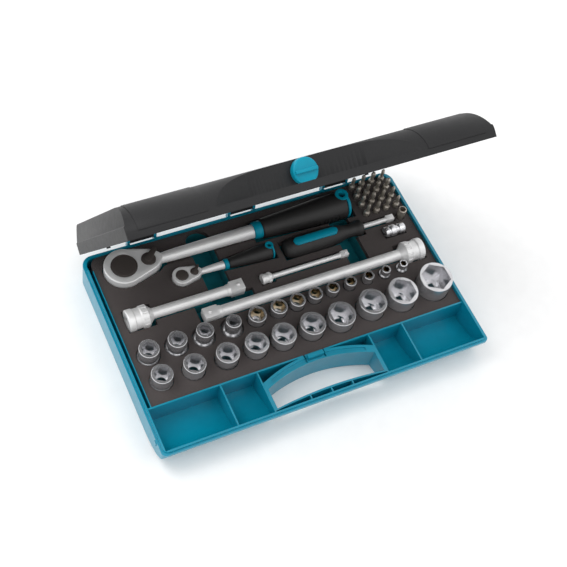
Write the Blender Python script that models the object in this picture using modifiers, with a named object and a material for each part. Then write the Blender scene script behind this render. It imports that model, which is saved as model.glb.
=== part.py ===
"""Socket wrench set in a hinged plastic case: case, foam insert, tools, sockets and bits.

Lengths below are millimetres, turned into metres as each mesh is made. The origin is the centre of
the case's underside, +X runs along the case to its right end, +Y to the hinge, +Z up.
"""

import math

import bmesh
import bpy
from mathutils import Matrix, Vector

MM = 0.001
GAP = 0.3

# Case
CASE_X, CASE_Y = 358.0, 228.0
LEDGE_Z, LIP_Z = 30.0, 32.0
WALL, FLOOR_Z = 2.5, 2.5
LIP_OUT, LIP_IN = 2.3, 4.1
NOSE_Y, NOSE_A = -66.0, 48.0
PARTITION_Y = -64.0
DIVIDER_X = (101.0, 62.0)
DIVIDER_HALF = 0.8

# Handle opening in the base and the finger recess in the lid share this arc.
ARC_R, ARC_TOP_Y = 147.0, -72.5
HOLE_X = 59.0
RIB_X = (-23.0, 0.0, 23.0)

# Lid
LID_Z0, LID_Z1, LID_WALL = 30.3, 60.3, 2.2
LID_STEP_Z = 42.0
RECESS_X, RECESS_Z = 100.0, 37.8
LID_ANGLE = 58.6

# Hinge
HINGE_Y, HINGE_Z = 119.0, 32.0
KNUCKLE_X = (-112.0, 0.0, 112.0)
KNUCKLE_HALF, KNUCKLE_R = 12.7, 4.4
LUG_T = 3.0
PIN_R, PIN_HOLE_R = 1.0, 1.3

# Latch knob
KNOB_Z, KNOB_R = 47.8, 12.3

# Foam
FOAM_X0, FOAM_X1, FOAM_Y0, FOAM_Y1 = -170.2, 174.5, -62.8, 111.2
SIDE_RIB_X = -171.1
FOAM_Z0, FOAM_Z1 = 2.8, 28.0

# Sockets: size, x, y, diameter at the mouth
HALF_INCH = [
    ("13", -153.1, -10.1, 20.1), ("12", -123.7, -9.7, 18.8),
    ("11", -94.8, -9.5, 17.3), ("10", -64.4, -9.7, 15.5),
    ("14", -151.2, -39.3, 21.2), ("15", -118.0, -39.6, 22.1),
    ("16", -83.6, -39.9, 23.2), ("17", -52.3, -39.4, 24.1),
    ("18", -22.8, -39.4, 25.0), ("19", 9.4, -38.6, 26.3),
    ("21", 41.9, -39.0, 28.7), ("22", 78.6, -37.0, 29.7),
    ("24", 113.8, -37.2, 32.0), ("27", 153.6, -35.5, 35.5),
]
QUARTER_INCH = [
    ("13", -37.7, -9.0, 18.5), ("12", -13.2, -8.0, 17.3), ("11", 8.0, -7.2, 16.0),
    ("10", 28.8, -6.2, 15.0), ("9", 49.2, -6.1, 13.4), ("8", 70.1, -5.5, 12.4),
    ("7", 91.5, -5.2, 11.5), ("6", 112.4, -5.0, 9.8), ("5.5", 133.5, -4.6, 8.9),
]
HALF_BASE_D, QUARTER_BASE_D = 22.6, 11.8
HALF_FLOOR_Z, QUARTER_FLOOR_Z = 3.6, 13.0
QUARTER_LENGTH = 25.0
HALF_NECK, QUARTER_NECK = 14.0, 7.0

# Bits: a grid of upright bits at the right-hand back corner of the foam, and a bit holder
BIT_X0, BIT_Y0, BIT_PITCH = 129.4, 70.4, 12.2
BIT_FLOOR_Z, BIT_TOP_Z = 20.0, 46.0
BITS = [(col, row) for row in range(2) for col in range(4)]
HOLDER = (164.3, 56.0)

parts = bpy.data.collections.new("socket_wrench_set")
cutters = bpy.data.collections.new("cutters")


def clear_scene():
    for obj in list(bpy.data.objects):
        bpy.data.objects.remove(obj)
    for collection in (parts, cutters):
        bpy.context.scene.collection.children.link(collection)


def material(name, colour, roughness, metallic=0.0):
    found = bpy.data.materials.get(name)
    if found:
        return found
    made = bpy.data.materials.new(name)
    made.use_nodes = True
    shader = made.node_tree.nodes["Principled BSDF"]
    shader.inputs["Base Color"].default_value = (*colour, 1.0)
    shader.inputs["Roughness"].default_value = roughness
    shader.inputs["Metallic"].default_value = metallic
    made.diffuse_color = (*colour, 1.0)
    return made


TEAL = ("teal_plastic", (0.0, 0.32, 0.42), 0.35)
BLACK = ("black_plastic", (0.03, 0.03, 0.035), 0.45)
FOAM = ("dark_foam", (0.045, 0.04, 0.04), 0.9)
CHROME = ("chrome", (0.82, 0.82, 0.84), 0.15, 1.0)
STEEL = ("dark_steel", (0.2, 0.18, 0.17), 0.35, 1.0)
GRIP = ("grip_rubber", (0.02, 0.02, 0.022), 0.6)


# Making solids ---------------------------------------------------------------------------------


def add(name, mesh, look=None):
    """A part when it has a look, otherwise a hidden cutter."""
    obj = bpy.data.objects.new(name, mesh)
    if look:
        parts.objects.link(obj)
        mesh.materials.append(material(look[0] + "_" + name, *look[1:]))
    else:
        cutters.objects.link(obj)
        obj.hide_render = True
        obj.display_type = "WIRE"
    return obj


def from_bmesh(name, bm, look=None):
    bmesh.ops.recalc_face_normals(bm, faces=bm.faces)
    mesh = bpy.data.meshes.new(name)
    bm.to_mesh(mesh)
    bm.free()
    return add(name, mesh, look)


def box(name, lo, hi, look=None):
    bm = bmesh.new()
    size = [(b - a) * MM for a, b in zip(lo, hi)]
    middle = [(a + b) / 2 * MM for a, b in zip(lo, hi)]
    bmesh.ops.create_cube(bm, size=1.0, matrix=Matrix.Translation(middle) @ Matrix.Diagonal((*size, 1.0)))
    return from_bmesh(name, bm, look)


def prism(name, outline, low, high, along="Z", look=None):
    """An outline pushed along Z, or an outline in Y and Z pushed along X, or in X and Z along Y."""
    place = {
        "Z": lambda a, b, t: (a, b, t),
        "X": lambda a, b, t: (t, a, b),
        "Y": lambda a, b, t: (a, t, b),
    }[along]
    bm = bmesh.new()
    face = bm.faces.new([bm.verts.new(Vector(place(a, b, low)) * MM) for a, b in outline])
    pushed = bmesh.ops.extrude_face_region(bm, geom=[face])["geom"]
    step = (Vector(place(0, 0, high)) - Vector(place(0, 0, low))) * MM
    bmesh.ops.translate(bm, vec=step, verts=[v for v in pushed if isinstance(v, bmesh.types.BMVert)])
    return from_bmesh(name, bm, look)


def turned(name, profile, place, along="Z", sides=20, look=None):
    """A profile of (radius, height) pairs, listed from the top down, turned about its axis."""
    mesh = bpy.data.meshes.new(name)
    points = [(r * MM, 0.0, h * MM) for r, h in profile]
    mesh.from_pydata(points, [(i, i + 1) for i in range(len(points) - 1)], [])
    obj = add(name, mesh, look)
    obj.location = Vector(place) * MM
    obj.rotation_euler = {"Z": (0, 0, 0), "X": (0, math.pi / 2, 0), "Y": (-math.pi / 2, 0, 0)}[along]
    screw = obj.modifiers.new("turn", "SCREW")
    screw.axis = "Z"
    screw.steps = screw.render_steps = sides
    screw.use_merge_vertices = True
    screw.merge_threshold = 0.00001
    return obj


def rod(name, place, radius, low, high, along="Z", sides=20, look=None, radius_high=None):
    """A round bar or cone from low to high, measured from place along its axis."""
    top = radius if radius_high is None else radius_high
    return turned(name, [(0, high), (top, high), (radius, low), (0, low)], place, along, sides, look)


def hull(name, discs, low, high, sides=24, look=None):
    """The upright solid round a row of discs (x, y, radius)."""
    bm = bmesh.new()
    for x, y, radius in discs:
        for i in range(sides):
            angle = 2 * math.pi * i / sides
            for z in (low, high):
                bm.verts.new(Vector((x + radius * math.cos(angle), y + radius * math.sin(angle), z)) * MM)
    inside = bmesh.ops.convex_hull(bm, input=bm.verts)["geom_interior"]
    bmesh.ops.delete(bm, geom=[v for v in inside if isinstance(v, bmesh.types.BMVert)], context="VERTS")
    bmesh.ops.dissolve_limit(bm, angle_limit=0.01, verts=bm.verts, edges=bm.edges)
    return from_bmesh(name, bm, look)


def polygon_rod(name, place, across_flats, sides, low, high, along="Z", look=None, turn=0.0):
    """A square or hexagonal bar, sized across its flats."""
    radius = across_flats / 2 / math.cos(math.pi / sides)
    obj = rod(name, place, radius, low, high, along, sides, look)
    spin = Matrix.Rotation(math.pi / sides + turn, 4, "Z")
    obj.data.transform(spin)
    return obj


def combine(target, tools, operation="DIFFERENCE"):
    for tool in tools:
        change = target.modifiers.new(tool.name, "BOOLEAN")
        change.operation = operation
        change.solver = "EXACT"
        change.object = tool
    return target


def soften(obj, width, segments=1, angle=40):
    bevel = obj.modifiers.new("edges", "BEVEL")
    bevel.width = width * MM
    bevel.segments = segments
    bevel.limit_method = "ANGLE"
    bevel.angle_limit = math.radians(angle)
    return obj


# Outlines --------------------------------------------------------------------------------------


def arc(cx, cy, rx, ry, start, end, steps):
    for i in range(steps + 1):
        angle = math.radians(start + (end - start) * i / steps)
        yield (cx + rx * math.cos(angle), cy + ry * math.sin(angle))


def rounded(half_x, y_front, y_back, r_front, r_back, steps=3):
    corners = (
        (half_x - r_back, y_back - r_back, r_back, 0),
        (-half_x + r_back, y_back - r_back, r_back, 90),
        (-half_x + r_front, y_front + r_front, r_front, 180),
        (half_x - r_front, y_front + r_front, r_front, 270),
    )
    return [p for x, y, r, a in corners for p in arc(x, y, r, r, a, a + 90, steps)]


def case_plan(inset):
    half_y = CASE_Y / 2 - inset
    return rounded(CASE_X / 2 - inset, -half_y, half_y, 5.0, max(12.0 - inset, 4.0), 4)


def back_arc(half_x, offset, steps=12):
    """The arc behind the handle opening, moved back by offset, from -half_x to +half_x."""
    for i in range(steps + 1):
        x = half_x * (2 * i / steps - 1)
        yield (x, ARC_TOP_Y + offset - ARC_R + math.sqrt(ARC_R**2 - x**2))


def front_arc(half_x, centre_y, sag, steps=6):
    """A shallow arc that bows towards the hinge, from +half_x to -half_x."""
    for i in range(steps + 1):
        x = half_x * (1 - 2 * i / steps)
        yield (x, centre_y - sag * (x / half_x) ** 2)


# Case base -------------------------------------------------------------------------------------


def trough(name, x0, x1):
    """A front compartment's space, its floor curving up to the front rim."""
    front = -CASE_Y / 2 + LIP_IN
    back = PARTITION_Y - DIVIDER_HALF
    curve = arc(NOSE_Y, LEDGE_Z, NOSE_Y - front, LEDGE_Z - FLOOR_Z, 270, 180, 8)
    outline = [(back, 40.0), (back, FLOOR_Z), *curve, (front, 40.0)]
    return prism(name, outline, x0, x1, "X")


def handle_outline(grow_front, grow_side, grow_back):
    sides = HOLE_X + grow_side
    front_y = -102.5 - grow_front
    return [*back_arc(sides, grow_back), *front_arc(sides, front_y, 4.0)]


def small_compartment(name, side):
    """A trough with a sloping flat patch at the front corner beside the handle."""
    x0, x1 = sorted((side * (DIVIDER_X[1] + DIVIDER_HALF), side * (DIVIDER_X[0] - DIVIDER_HALF)))
    space = trough(name, x0, x1)
    bm = bmesh.new()
    bm.from_mesh(space.data)
    point = Vector((side * 82.0, -93.0, 6.5)) * MM
    normal = Vector((side * 0.28, 0.42, 1.0))
    every = bm.verts[:] + bm.edges[:] + bm.faces[:]
    cut = bmesh.ops.bisect_plane(bm, geom=every, plane_co=point, plane_no=normal, clear_inner=True)
    rim = [e for e in cut["geom_cut"] if isinstance(e, bmesh.types.BMEdge)]
    bmesh.ops.contextual_create(bm, geom=rim)
    bmesh.ops.recalc_face_normals(bm, faces=bm.faces)
    bm.to_mesh(space.data)
    bm.free()
    return space


def make_base():
    back = CASE_Y / 2
    nose = arc(NOSE_Y, LEDGE_Z, NOSE_A, LEDGE_Z, 180, 270, 9)
    base = prism("case_base", [*nose, (back - 5, 0), (back, 5), (back, LEDGE_Z)], -190, 190, "X", TEAL)
    combine(base, [prism("base_plan", case_plan(0), -5, LEDGE_Z + 5)], "INTERSECT")

    lip = prism("base_lip", case_plan(LIP_OUT), LEDGE_Z - 5, LIP_Z)
    lip_inside = prism("lip_inside", case_plan(LIP_IN), 20, 40)
    combine(lip, [lip_inside, box("lip_back", (-190, 98, 20), (190, 120, 40))])
    combine(base, [lip], "UNION")

    cavity = prism(
        "foam_cavity",
        rounded(CASE_X / 2 - LIP_IN, PARTITION_Y + DIVIDER_HALF, back - WALL, 0.5, 9.5),
        FLOOR_Z,
        40,
    )
    rib = box("side_rib", (SIDE_RIB_X - 0.5, -63.4, 2), (SIDE_RIB_X + 0.5, 96, LEDGE_Z))
    combine(cavity, [rib])

    wide = (DIVIDER_X[0] + DIVIDER_HALF, CASE_X / 2 - LIP_IN)
    spaces = [trough("compartment_left", -wide[1], -wide[0]), trough("compartment_right", *wide)]
    spaces.append(small_compartment("compartment_inner_left", -1))
    spaces.append(small_compartment("compartment_inner_right", 1))

    bar = trough("handle_zone", -DIVIDER_X[1] + DIVIDER_HALF, DIVIDER_X[1] - DIVIDER_HALF)
    kept = [prism("handle_wall", handle_outline(2.0, 4.0, 8.5), -5, 45)]
    kept += [box(f"grip_rib_{x:+.0f}", (x - 0.7, -112, 0), (x + 0.7, -103, LEDGE_Z)) for x in RIB_X]
    combine(bar, kept)
    hole = prism("handle_hole", handle_outline(0, 0, 0), -5, 45)
    ledge = [*back_arc(52, 5.6), *reversed(list(back_arc(52, 1.8)))]
    channel = prism("ledge_channel", ledge, LEDGE_Z - 1.2, 40)
    combine(base, [cavity, *spaces, bar, hole, channel])

    slots = [box(f"catch_slot_{s}", (s * 10.4 - 0.9, -72, 26), (s * 10.4 + 0.9, -63, 40)) for s in (-1, 1)]
    notches = [
        box(f"hinge_notch_{x:+.0f}", (x - 13.0, 105, 29), (x + 13.0, 120, 40)) for x in KNUCKLE_X
    ]
    combine(base, slots + notches)
    combine(base, [box("latch_catch", (-8.6, -69.6, 27), (8.6, -65.6, 34.2))], "UNION")
    nub = [box(f"side_nub_{s}", (s * 178 - 1.8, -98, 22), (s * 178 + 1.8, -94, 27)) for s in (-1, 1)]
    combine(base, nub, "UNION")
    add_lugs(base)


def add_lugs(base):
    """Two lugs beside each knuckle carry the pin behind the back wall."""
    for x in KNUCKLE_X:
        for side in (-1, 1):
            inner = x + side * (KNUCKLE_HALF + GAP)
            x0, x1 = sorted((inner, inner + side * LUG_T))
            tag = f"{x:+.0f}_{'left' if side < 0 else 'right'}"
            foot = box(f"lug_foot_{tag}", (x0, 112, 24), (x1, HINGE_Y, HINGE_Z - 2))
            eye = rod(f"lug_eye_{tag}", (0, HINGE_Y, HINGE_Z), KNUCKLE_R, x0, x1, "X", 12)
            combine(base, [foot, eye], "UNION")
        bore = rod(f"lug_bore_{x:+.0f}", (x, HINGE_Y, HINGE_Z), PIN_HOLE_R, -20, 20, "X", 10)
        combine(base, [bore])


# Lid -------------------------------------------------------------------------------------------


def lid_side_profile(inset):
    """Nose and roof of the lid in Y and Z."""
    top = LID_Z1 - inset
    back = CASE_Y / 2 - inset
    nose = arc(-71.0, LID_Z0, 42.5 - inset, LID_Z1 - LID_Z0 - inset, 90, 180, 8)
    low = LID_Z0 - (5 if inset else 0)
    return [(back, low), (back, top - 4), (back - 3, top), *nose, (-71.0 - 42.5 + inset, low)]


def lid_end_profile(inset):
    """Stepped and tapered ends of the lid in X and Z."""
    half = CASE_X / 2 - inset
    low = LID_Z0 - (6 if inset else 1)
    step = LID_STEP_Z - inset / 2
    right = [(half, low), (half, step), (half - 1.4, step + 1.0), (half - 6.5, LID_Z1 - inset + 1)]
    return right + [(-x, z) for x, z in reversed(right)]


def recess_outline(half_x, offset, front_y):
    return [*back_arc(half_x, offset, 16), (half_x, front_y), (-half_x, front_y)]


def make_lid():
    lid = prism("case_lid", lid_side_profile(0), -190, 190, "X", BLACK)
    plan = prism("lid_plan", rounded(CASE_X / 2, -115, CASE_Y / 2, 5, 5), LID_Z0 - 2, LID_Z1 + 2)
    ends = prism("lid_ends", lid_end_profile(0), -130, 130, "Y")
    combine(lid, [plan, ends], "INTERSECT")
    panels = [raised_panel(side) for side in (-1, 1)]
    combine(lid, panels, "UNION")

    inside = prism("lid_inside", lid_side_profile(LID_WALL), -180, 180, "X")
    combine(inside, [prism("lid_inside_ends", lid_end_profile(LID_WALL), -130, 130, "Y")], "INTERSECT")
    combine(inside, [prism("recess_wall", recess_outline(RECESS_X + 2.3, 1.8, -120), 20, 80)])
    recess = prism("finger_recess", recess_outline(RECESS_X, -0.5, -120), RECESS_Z, 70)
    through = prism("handle_through", [*back_arc(58, -0.5), *front_arc(58, -106.5, 1.0)], 20, 70)
    seat = prism("lip_seat", rounded(CASE_X / 2 - 2, -CASE_Y / 2 + 2, CASE_Y / 2 - 2, 3, 3), 20, LIP_Z + GAP)
    combine(lid, [inside, recess, through, seat])
    for side in (-1, 1):
        low = [(side * 60.5, -110.5), (side * 97, -110.5), (side * 97, -109), (side * 60.5, -89)]
        combine(lid, [prism(f"floor_hollow_{side}", low, 20, RECESS_Z - 2.2)])
    combine(lid, [rod("knob_bore", (0, 0, KNOB_Z), 3.3, -80, -60, "Y", 16)])
    tabs = []
    for side in (-1, 1):
        x0, x1 = side * 149 - 2, side * 149 + 2
        tabs.append(box(f"lid_tab_{side}", (x0, 109.2, 28.8), (x1, 110.9, 40)))
        tabs.append(box(f"lid_tab_root_{side}", (x0, 109.2, 34), (x1, 112.6, 39.8)))
    for x in KNUCKLE_X:
        place = (x, HINGE_Y, HINGE_Z)
        tabs.append(rod(f"knuckle_{x:+.0f}", place, KNUCKLE_R, -KNUCKLE_HALF, KNUCKLE_HALF, "X", 12))
        web = (x - KNUCKLE_HALF + 0.1, 113, HINGE_Z), (x + KNUCKLE_HALF - 0.1, HINGE_Y + 2, HINGE_Z + 4.5)
        tabs.append(box(f"knuckle_web_{x:+.0f}", *web))
    combine(lid, tabs, "UNION")
    for x in KNUCKLE_X:
        place = (x, HINGE_Y, HINGE_Z)
        combine(lid, [rod(f"knuckle_bore_{x:+.0f}", place, PIN_HOLE_R, -15, 15, "X", 10)])


def raised_panel(side):
    """A label panel that stands 0.6 mm proud of the lid's curved front."""
    grow = 0.6
    curve = arc(-71.0, LID_Z0, 42.5 + grow, LID_Z1 - LID_Z0 + grow, 97, 168, 7)
    inner = arc(-71.0, LID_Z0, 38.0, 26.0, 168, 97, 3)
    x0, x1 = sorted((side * 107.0, side * 168.5))
    return prism(f"label_panel_{side}", [*curve, *inner], x0, x1, "X")


def make_knob():
    """Latch knob in the recess, its shaft through the recess wall and a cam behind the wall."""
    front = -86.0
    profile = [(0, -74.0), (KNOB_R, -74.0), (KNOB_R, -80.8), (KNOB_R - 1.2, -82.0), (0, -82.0)]
    knob = turned("latch_knob", profile, (0, 0, KNOB_Z), "Y", 28, TEAL)
    grip = prism("knob_grip", [(-11, -1.6), (11, -1.6), (11, 1.6), (-11, 1.6)], front + 1.4, -80, "Y")
    grip.location.z = KNOB_Z * MM
    shaft = rod("knob_shaft", (0, 0, KNOB_Z), 3.0, -75, -66.5, "Y", 16)
    cam = box("knob_cam", (-4, -70.3, KNOB_Z - 11.5), (4, -67.3, KNOB_Z + 4))
    combine(knob, [grip, shaft, cam], "UNION")


def make_pins():
    for x, word in zip(KNUCKLE_X, ("left", "centre", "right")):
        half = KNUCKLE_HALF + LUG_T
        rod(f"hinge_pin_{word}", (x, HINGE_Y, HINGE_Z), PIN_R, -half, half, "X", 10, CHROME)


def open_lid():
    """Turns the lid, its cutters and the knob about the hinge axis, from closed to open."""
    hinge = bpy.data.objects.new("lid_hinge", None)
    parts.objects.link(hinge)
    hinge.location = Vector((0, HINGE_Y, HINGE_Z)) * MM
    moving = {"case_lid", "latch_knob"}
    for name in ("case_lid", "latch_knob", "lid_inside"):
        moving.update(m.object.name for m in bpy.data.objects[name].modifiers if m.type == "BOOLEAN")
    moving.add("lid_inside")
    for name in moving:
        piece = bpy.data.objects[name]
        piece.parent = hinge
        piece.location -= hinge.location
    hinge.rotation_euler.x = -math.radians(LID_ANGLE)


# Tools -----------------------------------------------------------------------------------------


def make_ratchet(tag, head, lever_x, y, top_z, thick, size):
    """A reversible ratchet along X: head, lever, drive, collar, grip and hanging cap.

    head is its x, its radius and the drive disc's radius. size holds each radius, thickness and
    the x of each change along the handle.
    """
    hx, hr, dr = head
    square, length = size["square"], size["square_length"]
    lever_r = size["lever_r"]
    bottom = top_z - thick
    axis_z = size["axis_z"]
    body = hull(
        f"{tag}_body",
        [(hx, y, hr), (lever_x, y, lever_r * 1.7), (lever_x + lever_r, y, lever_r)],
        bottom,
        top_z,
        20,
        CHROME,
    )
    soften(body, size["edge"], 1, 50)
    neck = turned(
        f"{tag}_neck",
        [
            (0, size["tang_x"]),
            (size["tang_r"], size["tang_x"]),
            (size["tang_r"], size["collar_x"]),
            (size["shaft_r"], size["collar_x"]),
            (size["neck_r"], size["neck_x"]),
            (size["neck_r"] * 0.8, lever_x),
            (0, lever_x),
        ],
        (0, y, axis_z),
        "X",
        16,
    )
    combine(body, [neck], "UNION")
    drive_bore = rod(f"{tag}_drive_bore", (hx, y, 0), dr + GAP, bottom - 5, top_z + 5, "Z", 28)
    seat_r = lever_r + GAP
    lever_seat = rod(f"{tag}_lever_seat", (lever_x, y, 0), seat_r, top_z - 3.0, top_z + 5, "Z", 18)
    combine(body, [drive_bore, lever_seat])

    drive = turned(
        f"{tag}_drive",
        [(0, top_z + 0.2), (dr - 0.5, top_z + 0.2), (dr, top_z - 0.4), (dr, bottom), (0, bottom)],
        (hx, y, 0),
        "Z",
        28,
        STEEL,
    )
    square_rod = polygon_rod(f"{tag}_square", (hx, y, 0), square, 4, bottom - length, bottom + 2)
    combine(drive, [square_rod], "UNION")

    lever = rod(f"{tag}_lever", (lever_x, y, 0), lever_r, top_z - 2.7, top_z + 0.6, "Z", 18, STEEL)
    reach, half = lever_r * 2.0, lever_r * 0.32
    tab = box(f"{tag}_lever_tab", (0, -half, top_z + GAP), (reach, half, top_z + GAP + size["tab_t"]))
    tab.location = Vector((lever_x, y, 0)) * MM
    tab.rotation_euler.z = math.radians(42)
    combine(lever, [tab], "UNION")

    bore_r = size["tang_r"] + GAP
    collar_x, grip_x, end_x = size["collar_x"] + GAP, size["grip_x"], size["end_x"]
    collar = rod(
        f"{tag}_collar", (0, y, axis_z), size["collar_r"], collar_x, grip_x - GAP, "X", 20, TEAL
    )
    combine(collar, [rod(f"{tag}_collar_bore", (0, y, axis_z), bore_r, collar_x - 5, grip_x + 5, "X", 12)])

    r0, r1 = size["grip_r"]
    span = end_x - grip_x
    grip = turned(
        f"{tag}_grip",
        [(0, end_x)]
        + [(r1 * 0.93, end_x), (r1, end_x - 2.5), (r1, grip_x + span * 0.72)]
        + [(r0 + (r1 - r0) * 0.45, grip_x + span * 0.35), (r0, grip_x + 1), (r0 - 1, grip_x), (0, grip_x)],
        (0, y, axis_z),
        "X",
        20,
        GRIP,
    )
    bore_end = size["tang_x"] + 0.5
    combine(grip, [rod(f"{tag}_grip_bore", (0, y, axis_z), bore_r, grip_x - 5, bore_end, "X", 12)])
    make_cap(tag, y, axis_z, end_x, r1, grip, size)


def make_cap(tag, y, axis_z, end_x, r1, grip, size):
    """End cap with a hanging eye that sits in a notch in the grip."""
    eye_r, eye_hole = size["eye_r"]
    eye_x, eye_y = end_x - eye_r * 0.35, y + size["eye_y"]
    low, high = axis_z + r1 * 0.45, axis_z + r1 * 0.98
    end = end_x + size["cap_t"]
    cap = turned(
        f"{tag}_cap",
        [(0, end), (r1 * 0.6, end), (r1 * 0.97, (end + end_x) / 2)]
        + [(r1 * 0.97, end_x + GAP), (0, end_x + GAP)],
        (0, y, axis_z),
        "X",
        20,
        TEAL,
    )
    eye = rod(f"{tag}_eye", (eye_x, eye_y, 0), eye_r, low, high, "Z", 16)
    combine(cap, [eye], "UNION")
    combine(cap, [rod(f"{tag}_eye_hole", (eye_x, eye_y, 0), eye_hole, axis_z - 40, high + 5, "Z", 14)])
    notch = rod(f"{tag}_eye_notch", (eye_x, eye_y, 0), eye_r + GAP, low - GAP, high + 9, "Z", 16)
    combine(grip, [notch])


def make_ratchets():
    make_ratchet(
        "ratchet_half", (-141.3, 20.5, 13.4), -115.3, 88.5, 36.0, 17.0,
        dict(
            square=12.5, square_length=14.5, axis_z=30.0, lever_r=7.4, tab_t=2.2, edge=1.0,
            neck_x=-88.0, neck_r=6.2, shaft_r=7.6, collar_x=1.0, collar_r=9.4,
            tang_r=4.5, tang_x=60.0, grip_x=10.5, grip_r=(10.8, 15.2), end_x=109.0,
            cap_t=6.0, eye_r=(7.2, 3.7), eye_y=4.2,
        ),
    )
    make_ratchet(
        "ratchet_quarter", (-89.6, 9.9, 6.3), -76.2, 61.0, 33.0, 10.5,
        dict(
            square=6.35, square_length=7.5, axis_z=28.5, lever_r=4.1, tab_t=1.6, edge=0.6,
            neck_x=-64.0, neck_r=3.4, shaft_r=4.4, collar_x=-43.5, collar_r=5.6,
            tang_r=2.4, tang_x=-14.0, grip_x=-38.5, grip_r=(5.6, 8.8), end_x=9.5,
            cap_t=3.5, eye_r=(4.4, 2.2), eye_y=2.2,
        ),
    )


DRIVER_Y, DRIVER_Z = 56.3, 29.0


def make_driver():
    place = (0, DRIVER_Y, DRIVER_Z)
    profile = [
        (0, 116.0), (7.4, 116.0), (8.8, 114.5), (8.8, 111.0), (7.4, 107.0), (7.2, 96.0),
        (10.0, 86.0), (11.4, 70.0), (11.4, 40.0), (10.4, 28.0), (7.5, 23.5), (0, 22.5),
    ]
    grip = turned("driver_grip", profile, place, "X", 20, GRIP)
    seat = capsule("driver_inlay_seat", 33.0 - GAP, 84.0 + GAP, 4.6 + GAP, DRIVER_Z + 8.0 - GAP, 50)
    bore = rod("driver_bore", place, 2.5 + GAP, 92, 120, "X", 12)
    combine(grip, [seat, bore])
    inlay = capsule("driver_inlay", 33.0, 84.0, 4.6, DRIVER_Z + 8.0, DRIVER_Z + 13, TEAL)
    combine(inlay, [rod("driver_inlay_crown", place, 11.9, 20, 90, "X", 28)], "INTERSECT")
    shaft = rod("driver_shaft", place, 2.5, 92.5, 148, "X", 12, CHROME)
    combine(shaft, [polygon_rod("driver_square", place, 6.35, 4, 146, 155, "X")], "UNION")


def capsule(name, x0, x1, half, low, high, look=None):
    right = arc(x1 - half, DRIVER_Y, half, half, -90, 90, 6)
    outline = [*right, *arc(x0 + half, DRIVER_Y, half, half, 90, 270, 6)]
    return prism(name, outline, low, high, "Z", look)


def make_extension(name, y, z, socket_end, tip_end, socket_r, shaft_r, square, tip_len):
    """A drive extension: a stepped square socket at one end and a square tip with its ball."""
    way = 1 if socket_end > tip_end else -1
    deep = socket_r * 1.9

    def at(distance):
        return socket_end - way * distance

    steps = [
        (0, at(0)), (socket_r * 0.94, at(0)), (socket_r, at(0.8)), (socket_r, at(deep * 0.3)),
        (socket_r * 0.92, at(deep * 0.34)), (socket_r * 0.92, at(deep * 0.62)),
        (socket_r, at(deep * 0.66)), (socket_r, at(deep * 0.95)), (socket_r * 0.86, at(deep)),
        (shaft_r, at(deep + socket_r * 0.4)), (shaft_r, tip_end + way * (tip_len + 6)),
        (shaft_r * 1.12, tip_end + way * (tip_len + 5)), (shaft_r * 1.12, tip_end + way * tip_len),
        (0, tip_end + way * tip_len),
    ]
    body = turned(name, steps if way > 0 else list(reversed(steps)), (0, y, z), "X", 20, CHROME)
    ends = sorted((tip_end, tip_end + way * (tip_len + 2)))
    tip = polygon_rod(f"{name}_tip", (0, y, z), square, 4, *ends, "X")
    ball = hull_ball(f"{name}_ball", (tip_end + way * tip_len * 0.45, y, z + square / 2), square * 0.16)
    combine(body, [tip, ball], "UNION")
    hole = sorted((socket_end + way * 3, at(deep * 0.72)))
    combine(body, [polygon_rod(f"{name}_hole", (0, y, z), square + 0.3, 4, *hole, "X")])


def hull_ball(name, centre, radius):
    bm = bmesh.new()
    bmesh.ops.create_icosphere(bm, subdivisions=1, radius=radius * MM)
    ball = from_bmesh(name, bm)
    ball.location = Vector(centre) * MM
    return ball


def make_extensions():
    make_extension("extension_half_125", 31.0, 29.0, -160.0, -35.0, 11.7, 5.6, 12.5, 13.0)
    make_extension("extension_half_250", 11.0, 29.0, 165.2, -87.0, 11.9, 5.9, 12.5, 14.0)
    make_extension("extension_quarter", 31.0, 29.5, -14.2, 86.0, 5.6, 2.6, 6.35, 6.5)
    place = (0, 41.0, 30.0)
    profile = [
        (0, 160.0), (5.2, 160.0), (5.9, 159.0), (5.9, 153.0), (4.9, 152.4), (4.9, 149.6),
        (6.2, 149.0), (6.2, 143.0), (5.2, 142.4), (5.2, 140.6), (5.9, 140.0), (5.4, 136.5), (0, 136.5),
    ]
    adaptor = turned("adaptor", profile, place, "X", 18, CHROME)
    combine(adaptor, [polygon_rod("adaptor_hole", place, 6.6, 4, 151, 165, "X")])


# Sockets and bits ------------------------------------------------------------------------------


def socket_profile(mouth_d, base_d, length, neck):
    """Radius against height, mouth up: narrow sizes step out below a neck, wide ones step in."""
    mouth, base = mouth_d / 2, base_d / 2
    head = neck if mouth < base else length * 0.62
    return [
        (0, length), (mouth - 0.9, length), (mouth, length - 0.9), (mouth, length - head),
        (base, length - head - abs(mouth - base) * 0.8 - 0.4), (base, 0), (0, 0),
    ]


def make_socket(name, place, mouth_d, base_d, length, neck, hexagon, square, sides):
    body = turned(name, socket_profile(mouth_d, base_d, length, neck), place, "Z", sides, CHROME)
    hex_floor = length * 0.5
    mouth = polygon_rod(f"{name}_hexagon", place, hexagon, 6, hex_floor, length + 2)
    drive = polygon_rod(f"{name}_drive", place, square, 4, -2, hex_floor + 1)
    combine(body, [mouth, drive])


def half_inch_size(mouth_d):
    """Drive-end diameter and length for a half-inch socket of this mouth diameter."""
    base_d = max(HALF_BASE_D, mouth_d * 0.86)
    length = 38.0 + max(0.0, mouth_d - 28.0) * 0.75
    return base_d, length


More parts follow.
